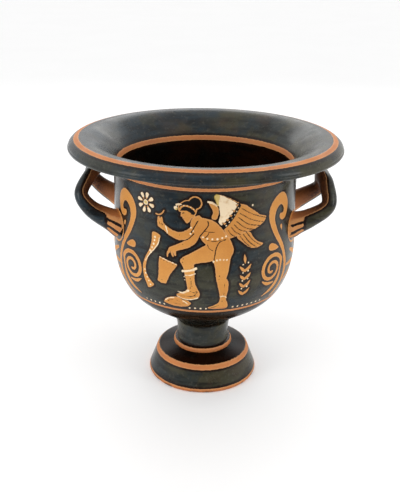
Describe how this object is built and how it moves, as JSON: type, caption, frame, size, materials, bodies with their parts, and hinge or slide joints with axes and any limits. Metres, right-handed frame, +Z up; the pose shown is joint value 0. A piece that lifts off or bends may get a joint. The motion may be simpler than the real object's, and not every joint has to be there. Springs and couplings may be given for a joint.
{
  "type": "bell krater",
  "caption": "Two-handled pottery mixing bowl with a bell-shaped body, wide flared lip, short stem and hollow disc foot.",
  "frame": {"origin": "centre of the face that the foot rests on, on the axis that the bowl was turned about", "axes": "+Z up along the turning axis, handles at +X and -X, painted front at -Y"},
  "size_m": [0.278, 0.278, 0.2704],
  "materials": {
    "slipped_clay": "satin"
  },
  "bodies": {
    "root": {"krater": "slipped_clay"}
  },
  "joints": []
}
